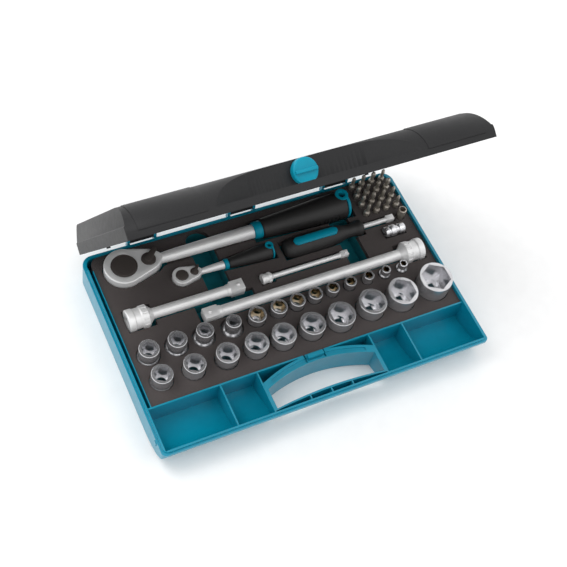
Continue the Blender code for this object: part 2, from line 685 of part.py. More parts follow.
def make_sockets():
    for size, x, y, mouth_d in HALF_INCH:
        base_d, length = half_inch_size(mouth_d)
        place = (x, y, HALF_FLOOR_Z + GAP)
        name = f"socket_half_{size}"
        make_socket(name, place, mouth_d, base_d, length, HALF_NECK, float(size), 12.7, 16)
    for size, x, y, mouth_d in QUARTER_INCH:
        place = (x, y, QUARTER_FLOOR_Z + GAP)
        base_d = max(QUARTER_BASE_D, mouth_d * 0.9)
        name, length = f"socket_quarter_{size}", QUARTER_LENGTH
        make_socket(name, place, mouth_d, base_d, length, QUARTER_NECK, float(size), 6.5, 12)


def make_bits():
    for number, (col, row) in enumerate(BITS, 1):
        place = (BIT_X0 + col * BIT_PITCH, BIT_Y0 + row * BIT_PITCH, 0)
        profile = [(0, BIT_TOP_Z), (1.4, BIT_TOP_Z), (2.1, BIT_TOP_Z - 6), (2.4, 37.5), (3.66, 35.5)]
        profile += [(3.66, BIT_FLOOR_Z + GAP), (0, BIT_FLOOR_Z + GAP)]
        turned(f"bit_{number:02d}", profile, place, "Z", 6, STEEL)


def make_holder():
    place = (*HOLDER, 0)
    profile = [(0, 41.0), (4.0, 41.0), (4.5, 40.4), (4.5, 32.0), (3.9, 31.4), (3.9, 18.5), (0, 18.5)]
    holder = turned("bit_holder", profile, place, "Z", 16, CHROME)
    combine(holder, [polygon_rod("holder_hole", place, 6.4, 6, 31, 45)])


# Foam insert -----------------------------------------------------------------------------------


def tool_pockets():
    """Pockets for the lying tools; each is a space from its floor up through the foam's face."""
    top = 60
    half_head = [(-141.3, 88.5, 21.5), (-114, 88.5, 14.5), (-104, 88.5, 9)]
    quarter_head = [(-89.6, 61, 10.9), (-75, 61, 8), (-66, 61, 5)]
    return [
        hull("pocket_ratchet_half", half_head, 18.5, top, 16),
        rod("pocket_drive_half", (-141.3, 88.5, 0), 10.5, 3.6, 30, "Z", 16),
        box("pocket_shaft_half", (-104, 80.0, 22.0), (3, 97.0, top)),
        rod("pocket_grip_half", (0, 88.5, 30.0), 13.6, 0, 118, "X", 16, None, 17.2),
        hull("pocket_ratchet_quarter", quarter_head, 22.0, top, 14),
        rod("pocket_drive_quarter", (-89.6, 61, 0), 5.6, 13.5, 30, "Z", 12),
        box("pocket_shaft_quarter", (-68, 55.2, 23.0), (-40, 66.8, top)),
        rod("pocket_grip_quarter", (0, 61, 28.5), 7.6, -45, 15, "X", 14, None, 10.8),
        rod("pocket_driver_grip", (0, DRIVER_Y, DRIVER_Z), 12.2, 21, 87, "X", 16),
        rod("pocket_driver_neck", (0, DRIVER_Y, DRIVER_Z), 9.8, 80, 118, "X", 14),
        box("pocket_driver_shaft", (116, 52.2, 20), (158, 61.5, top)),
        rod("pocket_125_socket", (0, 31, 29), 12.6, -161.5, -132.0, "X", 16),
        box("pocket_125_shaft", (-136, 24.0, 21.5), (-33, 38.0, top)),
        rod("pocket_250_socket", (0, 11, 29), 12.8, 136.6, 167.4, "X", 16),
        box("pocket_250_shaft", (-89, 3.9, 21.5), (142, 18.1, top)),
        rod("pocket_quarter_socket", (0, 31, 29.5), 6.6, -15.6, 1.0, "X", 12),
        box("pocket_quarter_shaft", (-1, 27.4, 20.0), (88, 36.6, top)),
        rod("pocket_adaptor", (0, 41, 30), 7.2, 135, 161.4, "X", 12),
        hull("recess_left_top", [(-57, 97, 13), (-57, 60, 13)], 4.4, top, 20),
        box("recess_left", (-70, 20, 4.4), (-44, 75, top)),
        box("recess_tips", (-91, 5, 8.0), (-26, 27, top)),
        box("recess_right", (84, 14, 4.4), (107, 76, top)),
    ]


def socket_pockets():
    made = []
    for size, x, y, mouth_d in HALF_INCH:
        radius = max(HALF_BASE_D, mouth_d) / 2 + 0.7
        made.append(rod(f"pocket_half_{size}", (x, y, 0), radius, HALF_FLOOR_Z, 60, "Z", 16))
    for size, x, y, mouth_d in QUARTER_INCH:
        radius = max(QUARTER_BASE_D, mouth_d) / 2 + 0.6
        made.append(rod(f"pocket_quarter_{size}", (x, y, 0), radius, QUARTER_FLOOR_Z, 60, "Z", 12))
    return made


def bit_pockets():
    made = []
    for row in range(4):
        for col in range(4):
            place = (BIT_X0 + col * BIT_PITCH, BIT_Y0 + row * BIT_PITCH, 0)
            made.append(rod(f"pocket_bit_{row}{col}", place, 4.0, BIT_FLOOR_Z, 60, "Z", 6))
    made.append(rod("pocket_holder", (*HOLDER, 0), 4.9, 18.0, 60, "Z", 10))
    return made


def make_foam():
    outline = rounded((FOAM_X1 - FOAM_X0) / 2, FOAM_Y0, FOAM_Y1, 0.5, 9.0)
    foam = prism("foam_insert", outline, FOAM_Z0, FOAM_Z1, "Z", FOAM)
    foam.location.x = (FOAM_X0 + FOAM_X1) / 2 * MM
    combine(foam, tool_pockets() + socket_pockets() + bit_pockets())


def main():
    clear_scene()
    make_base()
    make_lid()
    make_knob()
    make_pins()
    make_foam()
    make_ratchets()
    make_driver()
    make_extensions()
    make_sockets()
    make_bits()
    make_holder()
    open_lid()


main()
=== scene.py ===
"""Looks for the socket wrench set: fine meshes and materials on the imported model's bodies.

Lengths are millimetres in the row frame, turned into metres as each mesh is made.
"""

import math

import bmesh
import bpy
from mathutils import Matrix, Vector


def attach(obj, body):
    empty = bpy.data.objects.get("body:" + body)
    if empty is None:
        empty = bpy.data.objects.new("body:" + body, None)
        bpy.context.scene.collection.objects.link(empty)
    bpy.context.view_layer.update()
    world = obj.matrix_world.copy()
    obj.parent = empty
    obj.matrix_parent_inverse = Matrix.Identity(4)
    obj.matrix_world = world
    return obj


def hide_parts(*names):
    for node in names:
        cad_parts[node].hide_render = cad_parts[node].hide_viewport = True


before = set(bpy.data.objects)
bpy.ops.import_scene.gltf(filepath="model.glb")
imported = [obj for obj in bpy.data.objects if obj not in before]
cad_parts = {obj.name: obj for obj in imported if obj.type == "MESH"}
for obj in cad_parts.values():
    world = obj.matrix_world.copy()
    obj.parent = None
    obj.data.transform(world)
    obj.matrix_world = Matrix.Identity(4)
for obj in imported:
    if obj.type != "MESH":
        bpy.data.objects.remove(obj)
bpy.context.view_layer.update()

MM = 0.001
GAP = 0.3
CASE_X, CASE_Y = 358.0, 228.0
LEDGE_Z, LIP_Z, FLOOR_Z, WALL = 30.0, 32.0, 2.5, 2.5
LIP_OUT, LIP_IN = 2.3, 4.1
NOSE_Y, NOSE_A = -66.0, 48.0
PARTITION_Y = -64.0
DIVIDER_X, DIVIDER_HALF = (101.0, 62.0), 0.8
ARC_R, ARC_TOP_Y, HOLE_X = 147.0, -72.5, 59.0
LID_Z0, LID_Z1, LID_WALL, LID_STEP_Z = 30.3, 60.3, 2.2, 42.0
RECESS_X, RECESS_Z = 100.0, 37.8
HINGE_Y, HINGE_Z, LID_ANGLE = 119.0, 32.0, 58.6
KNUCKLE_X, KNUCKLE_HALF, KNUCKLE_R, LUG_T = (-112.0, 0.0, 112.0), 12.7, 4.4, 3.0
KNOB_Z, KNOB_R = 47.8, 12.3
HALF_INCH = [
    ("13", -153.1, -10.1, 20.1), ("12", -123.7, -9.7, 18.8),
    ("11", -94.8, -9.5, 17.3), ("10", -64.4, -9.7, 15.5),
    ("14", -151.2, -39.3, 21.2), ("15", -118.0, -39.6, 22.1),
    ("16", -83.6, -39.9, 23.2), ("17", -52.3, -39.4, 24.1),
    ("18", -22.8, -39.4, 25.0), ("19", 9.4, -38.6, 26.3),
    ("21", 41.9, -39.0, 28.7), ("22", 78.6, -37.0, 29.7),
    ("24", 113.8, -37.2, 32.0), ("27", 153.6, -35.5, 35.5),
]
QUARTER_INCH = [
    ("13", -37.7, -9.0, 18.5), ("12", -13.2, -8.0, 17.3), ("11", 8.0, -7.2, 16.0),
    ("10", 28.8, -6.2, 15.0), ("9", 49.2, -6.1, 13.4), ("8", 70.1, -5.5, 12.4),
    ("7", 91.5, -5.2, 11.5), ("6", 112.4, -5.0, 9.8), ("5.5", 133.5, -4.6, 8.9),
]
HALF_FLOOR_Z, QUARTER_FLOOR_Z = 3.6, 13.0
BIT_X0, BIT_Y0, BIT_PITCH, BIT_FLOOR_Z, BIT_TOP_Z = 129.4, 70.4, 12.2, 20.0, 46.0
HOLDER = (164.3, 56.0)
DRIVER_Y, DRIVER_Z = 56.3, 29.0
HALF_NECK, QUARTER_NECK = 14.0, 7.0
HALF_BASE_D, QUARTER_BASE_D = 22.6, 11.8
HALF_SQUARE, QUARTER_SQUARE = 12.7, 6.5
QUARTER_LENGTH = 25.0
SAMPLES = 72  # points in each ring of a socket
HEX_WALL = 11  # the socket's ring whose faces are the hexagon's walls


# Materials -------------------------------------------------------------------------------------


def procedural(name, dark, light, rough, metallic=0.0, grain=900, bump=0.1, depth=0.1, coat=0.0):
    """Colour and roughness that vary over the surface, with a fine grain in the bump.

    grain is the noise scale per metre and depth the bump's height in millimetres.
    """
    made = bpy.data.materials.new(name)
    made.use_nodes = True
    nodes, links = made.node_tree.nodes, made.node_tree.links
    shader = nodes["Principled BSDF"]
    shader.inputs["Metallic"].default_value = metallic
    shader.inputs["Coat Weight"].default_value = coat
    shader.inputs["Coat Roughness"].default_value = 0.12
    where = nodes.new("ShaderNodeTexCoord").outputs["Object"]

    def noise(scale, detail):
        made_noise = nodes.new("ShaderNodeTexNoise")
        made_noise.inputs["Scale"].default_value = scale
        made_noise.inputs["Detail"].default_value = detail
        links.new(where, made_noise.inputs["Vector"])
        return made_noise.outputs["Fac"]

    def ramp(source, low, high):
        made_ramp = nodes.new("ShaderNodeValToRGB")
        made_ramp.color_ramp.elements[0].position = 0.35
        made_ramp.color_ramp.elements[1].position = 0.65
        made_ramp.color_ramp.elements[0].color = (*low, 1)
        made_ramp.color_ramp.elements[1].color = (*high, 1)
        links.new(source, made_ramp.inputs["Fac"])
        return made_ramp.outputs["Color"]

    fine = noise(grain, 3)
    colour = ramp(fine if bump > 0.15 else noise(60, 4), dark, light)
    links.new(colour, shader.inputs["Base Color"])
    spread = nodes.new("ShaderNodeMapRange")
    spread.inputs["To Min"].default_value, spread.inputs["To Max"].default_value = rough
    links.new(noise(180, 4), spread.inputs["Value"])
    links.new(spread.outputs["Result"], shader.inputs["Roughness"])
    relief = nodes.new("ShaderNodeBump")
    relief.inputs["Strength"].default_value = bump
    relief.inputs["Distance"].default_value = depth * MM
    links.new(fine, relief.inputs["Height"])
    links.new(relief.outputs["Normal"], shader.inputs["Normal"])
    return made, nodes, links, shader, colour, where


def foam_material():
    """Dark foam bonded over teal foam: the colour changes with height."""
    made, nodes, links, shader, colour, where = procedural(
        "foam", (0.030, 0.0255, 0.0250), (0.088, 0.074, 0.072), (0.85, 1.0), 0, 1500, 0.5, 0.25
    )
    split = nodes.new("ShaderNodeSeparateXYZ")
    links.new(where, split.inputs["Vector"])
    above = nodes.new("ShaderNodeMath")
    above.operation = "GREATER_THAN"
    above.inputs[1].default_value = 22.0 * MM
    links.new(split.outputs["Z"], above.inputs[0])
    mix = nodes.new("ShaderNodeMix")
    mix.data_type = "RGBA"
    mix.inputs["A"].default_value = (0.0, 0.19, 0.235, 1)
    links.new(above.outputs["Value"], mix.inputs["Factor"])
    links.new(colour, mix.inputs["B"])
    links.new(mix.outputs["Result"], shader.inputs["Base Color"])
    return made


def make_materials():
    table = {
        "teal": ((0.0, 0.225, 0.335), (0.0, 0.245, 0.365), (0.26, 0.36), 0, 2500, 0.06, 0.05, 0.15),
        "black": ((0.014, 0.014, 0.015), (0.022, 0.022, 0.023), (0.42, 0.55), 0, 2600, 0.3, 0.08),
        "chrome": ((0.68, 0.68, 0.70), (0.78, 0.78, 0.80), (0.20, 0.28), 0.85, 1200, 0.02, 0.02),
        "satin": ((0.84, 0.84, 0.84), (0.90, 0.90, 0.90), (0.36, 0.44), 0.3, 2600, 0.05, 0.02),
        "warm": ((0.42, 0.33, 0.20), (0.62, 0.52, 0.36), (0.12, 0.25), 1.0, 1200, 0.02, 0.02),
        "dark_steel": ((0.085, 0.072, 0.066), (0.11, 0.095, 0.088), (0.40, 0.55), 0.4, 2200, 0.2, 0.05),
        "bit": ((0.42, 0.38, 0.33), (0.52, 0.48, 0.42), (0.30, 0.40), 0.7, 1800, 0.1, 0.03),
        "rubber": ((0.012, 0.012, 0.012), (0.020, 0.019, 0.019), (0.48, 0.62), 0, 2400, 0.25, 0.08),
        "teal_soft": ((0.0, 0.25, 0.36), (0.0, 0.27, 0.39), (0.36, 0.46), 0, 2400, 0.1, 0.05),
        "floor": ((0.90, 0.90, 0.90), (0.92, 0.92, 0.92), (0.85, 0.95), 0, 40, 0.02, 0.1),
    }
    looks = {name: procedural(name, *values)[0] for name, values in table.items()}
    for name, level in (("black", 0.22), ("teal_soft", 0.2)):
        shader = looks[name].node_tree.nodes["Principled BSDF"]
        shader.inputs["Specular IOR Level"].default_value = level
    looks["foam"] = foam_material()
    return looks


LOOKS = make_materials()


# Making meshes ---------------------------------------------------------------------------------


def object_of(name, bm):
    bmesh.ops.recalc_face_normals(bm, faces=bm.faces)
    mesh = bpy.data.meshes.new(name)
    bm.to_mesh(mesh)
    bm.free()
    obj = bpy.data.objects.new(name, mesh)
    bpy.context.scene.collection.objects.link(obj)
    return obj


def box(lo, hi, name="cut"):
    bm = bmesh.new()
    size = [(b - a) * MM for a, b in zip(lo, hi)]
    middle = [(a + b) / 2 * MM for a, b in zip(lo, hi)]
    matrix = Matrix.Translation(middle) @ Matrix.Diagonal((*size, 1.0))
    bmesh.ops.create_cube(bm, size=1.0, matrix=matrix)
    return object_of(name, bm)


def prism(outline, low, high, along="Z", name="cut"):
    place = {
        "Z": lambda a, b, t: (a, b, t),
        "X": lambda a, b, t: (t, a, b),
        "Y": lambda a, b, t: (a, t, b),
    }[along]
    bm = bmesh.new()
    face = bm.faces.new([bm.verts.new(Vector(place(a, b, low)) * MM) for a, b in outline])
    pushed = bmesh.ops.extrude_face_region(bm, geom=[face])["geom"]
    step = (Vector(place(0, 0, high)) - Vector(place(0, 0, low))) * MM
    moved = [v for v in pushed if isinstance(v, bmesh.types.BMVert)]
    bmesh.ops.translate(bm, vec=step, verts=moved)
    return object_of(name, bm)


def eased(profile, radius, steps=3):
    """The profile with each inner corner rounded by up to radius."""
    done = [profile[0]]
    for before, corner, after in zip(profile, profile[1:], profile[2:]):
        here = Vector(corner)
        back, on = Vector(before) - here, Vector(after) - here
        if back.length < 1e-6 or on.length < 1e-6:
            continue
        cut = min(radius, back.length * 0.45, on.length * 0.45)
        start, end = here + back.normalized() * cut, here + on.normalized() * cut
        for i in range(steps + 1):
            t = i / steps
            done.append(tuple((1 - t) ** 2 * start + 2 * t * (1 - t) * here + t * t * end))
    done.append(profile[-1])
    return done


def lathe(profile, place, along="Z", sides=48, name="cut", ease=0.0):
    """A closed profile of (radius, height) pairs turned about an axis through place."""
    closed = profile[0] == profile[-1]
    if ease:
        profile = eased(profile, ease)
    if closed:
        profile = profile[:-1]
    turn = {
        "Z": Matrix.Identity(4),
        "X": Matrix.Rotation(math.pi / 2, 4, "Y"),
        "Y": Matrix.Rotation(-math.pi / 2, 4, "X"),
    }[along]
    turn = Matrix.Translation(Vector(place) * MM) @ turn
    bm = bmesh.new()
    rings = []
    for r, h in profile:
        count = 1 if r < 1e-6 else sides
        angles = [2 * math.pi * i / sides for i in range(count)]
        points = [(r * math.cos(a) * MM, r * math.sin(a) * MM, h * MM) for a in angles]
        rings.append([bm.verts.new(turn @ Vector(p)) for p in points])
    for one, two in zip(rings, rings[1:] + (rings[:1] if closed else [])):
        for i in range(sides):
            j = (i + 1) % sides
            corners = []
            for v in (one[i % len(one)], one[j % len(one)], two[j % len(two)], two[i % len(two)]):
                if v not in corners:
                    corners.append(v)
            if len(corners) > 2:
                bm.faces.new(corners)
    return object_of(name, bm)


def rod(place, radius, low, high, along="Z", sides=48, top=None, name="cut"):
    profile = [(0, high), (radius if top is None else top, high), (radius, low), (0, low)]
    return lathe(profile, place, along, sides, name)


def bar(place, flats, count, low, high, along="Z", name="cut"):
    """A square or hexagonal bar sized across its flats."""
    made = rod((0, 0, 0), flats / 2 / math.cos(math.pi / count), low, high, "Z", count, None, name)
    turn = {"Z": Matrix.Identity(4), "X": Matrix.Rotation(math.pi / 2, 4, "Y")}[along]
    spin = Matrix.Rotation(math.pi / count, 4, "Z")
    made.data.transform(Matrix.Translation(Vector(place) * MM) @ turn @ spin)
    return made


def hull(discs, low, high, sides=64, name="cut"):
    bm = bmesh.new()
    for x, y, radius in discs:
        for i in range(sides):
            angle = 2 * math.pi * i / sides
            for z in (low, high):
                point = (x + radius * math.cos(angle), y + radius * math.sin(angle), z)
                bm.verts.new(Vector(point) * MM)
    inside = bmesh.ops.convex_hull(bm, input=bm.verts)["geom_interior"]
    spare = [v for v in inside if isinstance(v, bmesh.types.BMVert)]
    bmesh.ops.delete(bm, geom=spare, context="VERTS")
    bmesh.ops.dissolve_limit(bm, angle_limit=0.01, verts=bm.verts, edges=bm.edges)
    return object_of(name, bm)


def ball(place, radius, name="cut"):
    bm = bmesh.new()
    matrix = Matrix.Translation(Vector(place) * MM)
    bmesh.ops.create_icosphere(bm, subdivisions=3, radius=radius * MM, matrix=matrix)
    return object_of(name, bm)


def combine(target, tools, operation="DIFFERENCE"):
    """Applies each tool to the target at once and removes the tool."""
    for tool in tools:
        change = target.modifiers.new("boolean", "BOOLEAN")
        change.operation = operation
        change.solver = "EXACT"
        change.object = tool
    apply(target)
    for tool in tools:
        bpy.data.objects.remove(tool)
    return target


def apply(obj):
    bpy.context.view_layer.update()
    graph = bpy.context.evaluated_depsgraph_get()
    mesh = bpy.data.meshes.new_from_object(obj.evaluated_get(graph))
    obj.modifiers.clear()
    obj.data = mesh
    return obj


def soften(obj, width, segments=2, angle=35):
    bevel = obj.modifiers.new("edges", "BEVEL")
    bevel.width = width * MM
    bevel.segments = segments
    bevel.limit_method = "ANGLE"
    bevel.angle_limit = math.radians(angle)
    return apply(obj)


def place(obj, name, body, look, replaced=(), slot=None, smooth=32):
    """Names and finishes a piece and sets it on its body."""
    obj.name = obj.data.name = name
    obj.data.materials.clear()
    obj.data.materials.append(LOOKS[look])
    obj.data.shade_smooth()
    obj.data.set_sharp_from_angle(angle=math.radians(smooth))
    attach(obj, body)
    if replaced:
        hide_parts(*replaced)
    return obj


# Outlines --------------------------------------------------------------------------------------


def arc(cx, cy, rx, ry, start, end, steps):
    for i in range(steps + 1):
        angle = math.radians(start + (end - start) * i / steps)
        yield (cx + rx * math.cos(angle), cy + ry * math.sin(angle))


def rounded(half_x, y_front, y_back, r_front, r_back, steps=8):
    corners = (
        (half_x - r_back, y_back - r_back, r_back, 0),
        (-half_x + r_back, y_back - r_back, r_back, 90),
        (-half_x + r_front, y_front + r_front, r_front, 180),
        (half_x - r_front, y_front + r_front, r_front, 270),
    )
    return [p for x, y, r, a in corners for p in arc(x, y, r, r, a, a + 90, steps)]


def case_plan(inset):
    half_y = CASE_Y / 2 - inset
    return rounded(CASE_X / 2 - inset, -half_y, half_y, 5.0, max(12.0 - inset, 4.0))


def back_arc(half_x, offset, steps=32):
    for i in range(steps + 1):
        x = half_x * (2 * i / steps - 1)
        yield (x, ARC_TOP_Y + offset - ARC_R + math.sqrt(ARC_R**2 - x**2))


def front_arc(half_x, centre_y, sag, steps=20):
    for i in range(steps + 1):
        x = half_x * (1 - 2 * i / steps)
        yield (x, centre_y - sag * (x / half_x) ** 2)


# Case ------------------------------------------------------------------------------------------


def trough(x0, x1):
    front, back = -CASE_Y / 2 + LIP_IN, PARTITION_Y - DIVIDER_HALF
    curve = arc(NOSE_Y, LEDGE_Z, NOSE_Y - front, LEDGE_Z - FLOOR_Z, 270, 180, 24)
    return prism([(back, 40.0), (back, FLOOR_Z), *curve, (front, 40.0)], x0, x1, "X")


def handle_outline(front, side, back):
    sides = HOLE_X + side
    return [*back_arc(sides, back), *front_arc(sides, -102.5 - front, 4.0)]


def small_compartment(side):
    x0, x1 = sorted((side * (DIVIDER_X[1] + DIVIDER_HALF), side * (DIVIDER_X[0] - DIVIDER_HALF)))
    space = trough(x0, x1)
    bm = bmesh.new()
    bm.from_mesh(space.data)
    point, normal = Vector((side * 82.0, -93.0, 6.5)) * MM, Vector((side * 0.28, 0.42, 1.0))
    every = bm.verts[:] + bm.edges[:] + bm.faces[:]
    cut = bmesh.ops.bisect_plane(bm, geom=every, plane_co=point, plane_no=normal, clear_inner=True)
    rim = [e for e in cut["geom_cut"] if isinstance(e, bmesh.types.BMEdge)]
    bmesh.ops.contextual_create(bm, geom=rim)
    bmesh.ops.recalc_face_normals(bm, faces=bm.faces)
    bm.to_mesh(space.data)
    bm.free()
    return space


def make_base():
    back = CASE_Y / 2
    nose = arc(NOSE_Y, LEDGE_Z, NOSE_A, LEDGE_Z, 180, 270, 28)
    foot = arc(back - 5, 5, 5, 5, 270, 360, 6)
    base = prism([*nose, *foot, (back, LEDGE_Z)], -190, 190, "X")
    combine(base, [prism(case_plan(0), -5, LEDGE_Z + 5)], "INTERSECT")
    lip = prism(case_plan(LIP_OUT), LEDGE_Z - 5, LIP_Z)
    combine(lip, [prism(case_plan(LIP_IN), 20, 40), box((-190, 98, 20), (190, 120, 40))])
    combine(base, [lip], "UNION")

    cavity_plan = rounded(CASE_X / 2 - LIP_IN, PARTITION_Y + DIVIDER_HALF, back - WALL, 0.5, 9.5)
    cavity = prism(cavity_plan, FLOOR_Z, 40)
    combine(cavity, [box((-171.6, -63.4, 2), (-170.6, 96, LEDGE_Z))])
    outer = (DIVIDER_X[0] + DIVIDER_HALF, CASE_X / 2 - LIP_IN)
    spaces = [trough(-outer[1], -outer[0]), trough(*outer)]
    spaces += [small_compartment(-1), small_compartment(1)]
    bar_space = trough(-DIVIDER_X[1] + DIVIDER_HALF, DIVIDER_X[1] - DIVIDER_HALF)
    kept = [prism(handle_outline(2.0, 4.0, 8.5), -5, 45)]
    kept += [box((x - 0.7, -112, 0), (x + 0.7, -103, LEDGE_Z)) for x in (-23.0, 0.0, 23.0)]
    combine(bar_space, kept)
    hole = prism(handle_outline(0, 0, 0), -5, 45)
    ledge = [*back_arc(52, 5.6), *reversed(list(back_arc(52, 1.8)))]
    combine(base, [cavity, *spaces, bar_space, hole, prism(ledge, LEDGE_Z - 1.2, 40)])
    slots = [box((s * 10.4 - 0.9, -72, 26), (s * 10.4 + 0.9, -63, 40)) for s in (-1, 1)]
    combine(base, slots + [box((x - 13.0, 105, 29), (x + 13.0, 120, 40)) for x in KNUCKLE_X])
    combine(base, [box((-8.6, -69.6, 27), (8.6, -65.6, 34.2))], "UNION")
    studs = [box((s * 178 - 1.8, -98, 22), (s * 178 + 1.8, -94, 27)) for s in (-1, 1)]
    combine(base, studs, "UNION")
    lugs = []
    for x in KNUCKLE_X:
        for side in (-1, 1):
            inner = x + side * (KNUCKLE_HALF + GAP)
            x0, x1 = sorted((inner, inner + side * LUG_T))
            lugs.append(box((x0, 112, 24), (x1, HINGE_Y, HINGE_Z - 2)))
            lugs.append(rod((0, HINGE_Y, HINGE_Z), KNUCKLE_R, x0, x1, "X", 32))
    combine(base, lugs, "UNION")
    combine(base, [rod((x, HINGE_Y, HINGE_Z), 1.3, -20, 20, "X", 20) for x in KNUCKLE_X])
    soften(base, 0.35)
    place(base, "base_shell", "case", "teal", ["case_base"])


def lid_side_profile(inset):
    top, back = LID_Z1 - inset, CASE_Y / 2 - inset
    nose = arc(-71.0, LID_Z0, 42.5 - inset, LID_Z1 - LID_Z0 - inset, 90, 180, 26)
    low = LID_Z0 - (5 if inset else 0)
    roof = [*arc(back - 4, top - 4, 4, 4, 0, 90, 6)]
    return [(back, low), *roof, *nose, (-71.0 - 42.5 + inset, low)]


def lid_end_profile(inset):
    half, low = CASE_X / 2 - inset, LID_Z0 - (6 if inset else 1)
    step = LID_STEP_Z - inset / 2
    right = [(half, low), (half, step), (half - 1.4, step + 1.0), (half - 6.5, LID_Z1 - inset + 1)]
    return right + [(-x, z) for x, z in reversed(right)]


def raised_panel(side):
    grow = 0.6
    curve = arc(-71.0, LID_Z0, 42.5 + grow, LID_Z1 - LID_Z0 + grow, 97, 168, 20)
    inner = arc(-71.0, LID_Z0, 38.0, 26.0, 168, 97, 8)
    x0, x1 = sorted((side * 107.0, side * 168.5))
    return prism([*curve, *inner], x0, x1, "X")


OPEN = (
    Matrix.Translation((0, HINGE_Y * MM, HINGE_Z * MM))
    @ Matrix.Rotation(-math.radians(LID_ANGLE), 4, "X")
    @ Matrix.Translation((0, -HINGE_Y * MM, -HINGE_Z * MM))
)


def make_lid():
    lid = prism(lid_side_profile(0), -190, 190, "X")
    plan = prism(rounded(CASE_X / 2, -115, CASE_Y / 2, 5, 5), LID_Z0 - 2, LID_Z1 + 2)
    combine(lid, [plan, prism(lid_end_profile(0), -130, 130, "Y")], "INTERSECT")
    combine(lid, [raised_panel(side) for side in (-1, 1)], "UNION")
    inside = prism(lid_side_profile(LID_WALL), -180, 180, "X")
    combine(inside, [prism(lid_end_profile(LID_WALL), -130, 130, "Y")], "INTERSECT")
    straight = [*back_arc(RECESS_X + 2.3, 1.8), (RECESS_X + 2.3, -120), (-RECESS_X - 2.3, -120)]
    combine(inside, [prism(straight, 20, 80)])
    cut = [*back_arc(RECESS_X, -0.5, 48), (RECESS_X, -120), (-RECESS_X, -120)]
    recess = prism(cut, RECESS_Z, 70)
    through = prism([*back_arc(58, -0.5), *front_arc(58, -106.5, 1.0)], 20, 70)
    seat_plan = rounded(CASE_X / 2 - 2, -CASE_Y / 2 + 2, CASE_Y / 2 - 2, 3, 3)
    combine(lid, [inside, recess, through, prism(seat_plan, 20, LIP_Z + GAP)])
    hollows = []
    for side in (-1, 1):
        low = [(side * 60.5, -110.5), (side * 97, -110.5), (side * 97, -109), (side * 60.5, -89)]
        hollows.append(prism(low, 20, RECESS_Z - 2.2))
    combine(lid, hollows + [rod((0, 0, KNOB_Z), 3.3, -80, -60, "Y", 32)])
    tabs = []
    for side in (-1, 1):
        x0, x1 = side * 149 - 2, side * 149 + 2
        tabs += [box((x0, 109.2, 28.8), (x1, 110.9, 40)), box((x0, 109.2, 34), (x1, 112.6, 39.8))]
    for x in KNUCKLE_X:
        tabs.append(rod((x, HINGE_Y, HINGE_Z), KNUCKLE_R, -KNUCKLE_HALF, KNUCKLE_HALF, "X", 32))
        low = (x - KNUCKLE_HALF + 0.1, 113, HINGE_Z)
        tabs.append(box(low, (x + KNUCKLE_HALF - 0.1, HINGE_Y + 2, HINGE_Z + 4.5)))
    combine(lid, tabs, "UNION")
    combine(lid, [rod((x, HINGE_Y, HINGE_Z), 1.3, -15, 15, "X", 20) for x in KNUCKLE_X])
    soften(lid, 0.45)
    lid.data.transform(OPEN)
    place(lid, "lid_shell", "lid", "black", ["case_lid"])


def make_knob():
    """The knob as a disc, a finger bar, a shaft and a cam, all on one body."""
    profile = [(0, -74.0), (KNOB_R, -74.0), (KNOB_R, -80.8), (KNOB_R - 1.2, -82.0), (0, -82.0)]
    knob = lathe(profile, (0, 0, KNOB_Z), "Y", 72, "cut", 0.8)
    knob.data.transform(OPEN)
    place(knob, "knob_disc", "knob", "teal_soft", ["latch_knob"])
    pieces = {
        "knob_bar": soften(box((-11, -84.6, KNOB_Z - 1.6), (11, -81.9, KNOB_Z + 1.6)), 0.5, 3, 50),
        "knob_shaft": rod((0, 0, KNOB_Z), 3.0, -74.0, -70.3, "Y", 32),
        "knob_cam": box((-4, -70.3, KNOB_Z - 11.5), (4, -67.3, KNOB_Z + 4)),
    }
    for name, piece in pieces.items():
        piece.data.transform(OPEN)
        place(piece, name, "knob", "teal_soft", slot="latch_knob")


def make_pins():
    for x, word in zip(KNUCKLE_X, ("left", "centre", "right")):
        half = KNUCKLE_HALF + LUG_T
        profile = [(0, half), (1.0, half), (1.0, -half), (0, -half)]
        pin = lathe(profile, (x, HINGE_Y, HINGE_Z), "X", 24, "cut", 0.3)
        place(pin, f"pin_{word}", "case", "satin", [f"hinge_pin_{word}"])


# Foam ------------------------------------------------------------------------------------------


